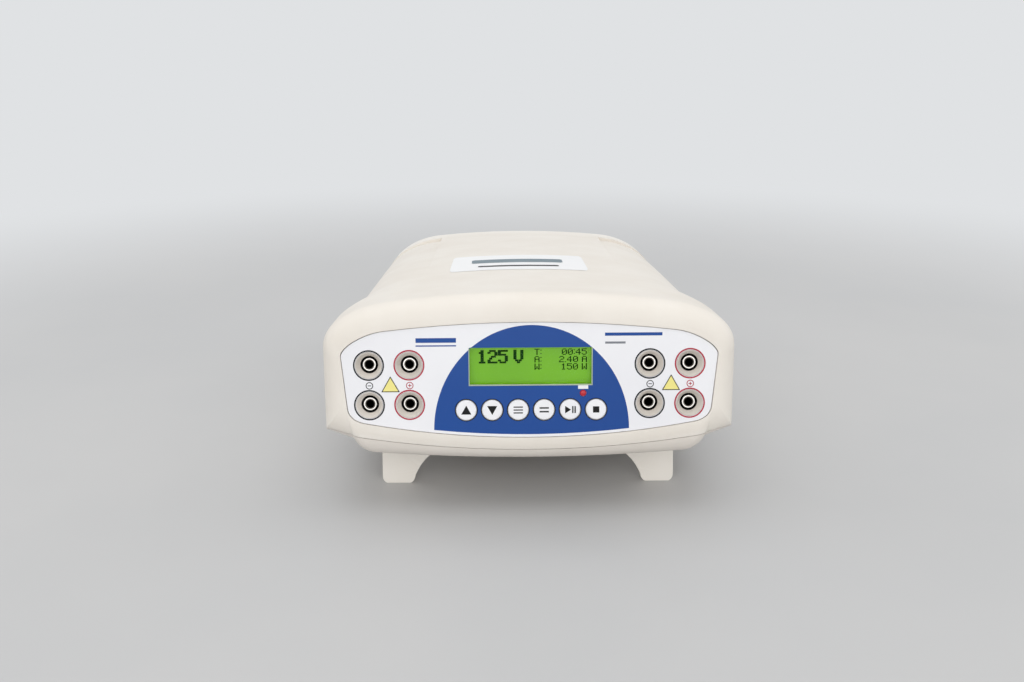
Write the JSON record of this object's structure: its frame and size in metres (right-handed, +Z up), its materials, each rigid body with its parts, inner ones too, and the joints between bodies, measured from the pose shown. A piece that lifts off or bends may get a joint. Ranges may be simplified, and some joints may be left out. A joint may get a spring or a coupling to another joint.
{
  "type": "electrophoresis power supply",
  "caption": "Bench power supply for gel electrophoresis: curved two-shell case on fold-down front legs, safety output sockets beside a lit display and push keys, rear mains inlet and fan.",
  "frame": {"origin": "on the bench, under the middle of the bounding box of the part standing on its unfolded legs", "axes": "+X to the right as seen from the front, +Y from the panel towards the back, +Z up"},
  "size_m": [0.1972, 0.292, 0.1051],
  "materials": {
    "black_plastic": "satin",
    "capacitor_sleeve": "satin",
    "case_plastic": "fine texture",
    "circuit_board": "satin",
    "clear_window": "clear",
    "display_frame": "satin",
    "display_glass": "lit",
    "foot_rubber": "matte",
    "fuse_glass": "clear",
    "heatsink_aluminium": "anodised",
    "key_plastic": "satin",
    "panel_metal": "powder coat",
    "plated_brass": "nickel plated",
    "printed_film": "satin",
    "red_lamp": "lit",
    "screw_steel": "plated",
    "socket_plastic": "satin",
    "transformer_steel": "varnished"
  },
  "bodies": {
    "case": {"top_cover": "case_plastic", "bottom_housing": "case_plastic", "front_panel": "case_plastic", "panel_overlay": "printed_film", "display_window": "clear_window", "lcd_bezel": "display_frame", "lcd_glass": "display_glass", "control_board": "circuit_board", "tact_switches": "black_plastic", "run_led": "red_lamp", "leg_pins": "screw_steel", "cover_screws": "screw_steel", "board_screws": "screw_steel", "main_board": "circuit_board", "power_transformer": "transformer_steel", "filter_capacitors": "capacitor_sleeve", "heatsink": "heatsink_aluminium", "rear_panel": "panel_metal", "fan_frame": "black_plastic", "fan_screws": "screw_steel", "inlet_socket": "black_plastic", "inlet_blades": "plated_brass", "switch_frame": "black_plastic", "socket_body_left_outer_top": "socket_plastic", "socket_body_left_outer_bottom": "socket_plastic", "socket_body_left_inner_top": "socket_plastic", "socket_body_left_inner_bottom": "socket_plastic", "socket_body_right_inner_top": "socket_plastic", "socket_body_right_inner_bottom": "socket_plastic", "socket_body_right_outer_top": "socket_plastic", "socket_body_right_outer_bottom": "socket_plastic", "socket_contact_left_outer_top": "plated_brass", "socket_contact_left_outer_bottom": "plated_brass", "socket_contact_left_inner_top": "plated_brass", "socket_contact_left_inner_bottom": "plated_brass", "socket_contact_right_inner_top": "plated_brass", "socket_contact_right_inner_bottom": "plated_brass", "socket_contact_right_outer_top": "plated_brass", "socket_contact_right_outer_bottom": "plated_brass", "output_board_left": "circuit_board", "output_board_right": "circuit_board", "foot_front_left": "foot_rubber", "foot_front_right": "foot_rubber", "foot_rear_left": "foot_rubber", "foot_rear_right": "foot_rubber"},
    "leg_left": {"leg_left": "case_plastic"},
    "leg_right": {"leg_right": "case_plastic"},
    "power_rocker": {"power_rocker": "black_plastic"},
    "fan_rotor": {"fan_rotor": "black_plastic"},
    "fuse_drawer": {"fuse_drawer": "black_plastic", "fuses": "fuse_glass"},
    "key_up": {"key_up": "key_plastic"},
    "key_down": {"key_down": "key_plastic"},
    "key_mode": {"key_mode": "key_plastic"},
    "key_constant": {"key_constant": "key_plastic"},
    "key_start": {"key_start": "key_plastic"},
    "key_stop": {"key_stop": "key_plastic"}
  },
  "joints": [
    {"name": "key_up_press", "type": "slide", "parent": "case", "child": "key_up", "axis": [0, 0.9877, -0.1563], "range_m": [0, 0.0005], "stiffness_N_per_m": 800},
    {"name": "key_down_press", "type": "slide", "parent": "case", "child": "key_down", "axis": [0, 0.9877, -0.1563], "range_m": [0, 0.0005], "stiffness_N_per_m": 800},
    {"name": "key_mode_press", "type": "slide", "parent": "case", "child": "key_mode", "axis": [0, 0.9877, -0.1563], "range_m": [0, 0.0005], "stiffness_N_per_m": 800},
    {"name": "key_constant_press", "type": "slide", "parent": "case", "child": "key_constant", "axis": [0, 0.9877, -0.1563], "range_m": [0, 0.0005], "stiffness_N_per_m": 800},
    {"name": "key_start_press", "type": "slide", "parent": "case", "child": "key_start", "axis": [0, 0.9877, -0.1563], "range_m": [0, 0.0005], "stiffness_N_per_m": 800},
    {"name": "key_stop_press", "type": "slide", "parent": "case", "child": "key_stop", "axis": [0, 0.9877, -0.1563], "range_m": [0, 0.0005], "stiffness_N_per_m": 800},
    {"name": "leg_left_fold", "type": "hinge", "parent": "case", "child": "leg_left", "pos_m": [-0.0617, -0.10278, 0.02558], "axis": [1, 0, 0], "range_deg": [0, 98]},
    {"name": "leg_right_fold", "type": "hinge", "parent": "case", "child": "leg_right", "pos_m": [0.0617, -0.10278, 0.02558], "axis": [1, 0, 0], "range_deg": [0, 98]},
    {"name": "power_rocker_tilt", "type": "hinge", "parent": "case", "child": "power_rocker", "pos_m": [0.014, 0.13519, 0.04072], "axis": [-1, 0, 0], "range_deg": [0, 24]},
    {"name": "fan_spin", "type": "hinge", "parent": "case", "child": "fan_rotor", "pos_m": [-0.036, 0.12796, 0.04236], "axis": [0, 0.9962, -0.0871], "continuous": true},
    {"name": "fuse_drawer_slide", "type": "slide", "parent": "case", "child": "fuse_drawer", "axis": [0, 0.9962, -0.0871], "range_m": [0, 0.012]}
  ]
}
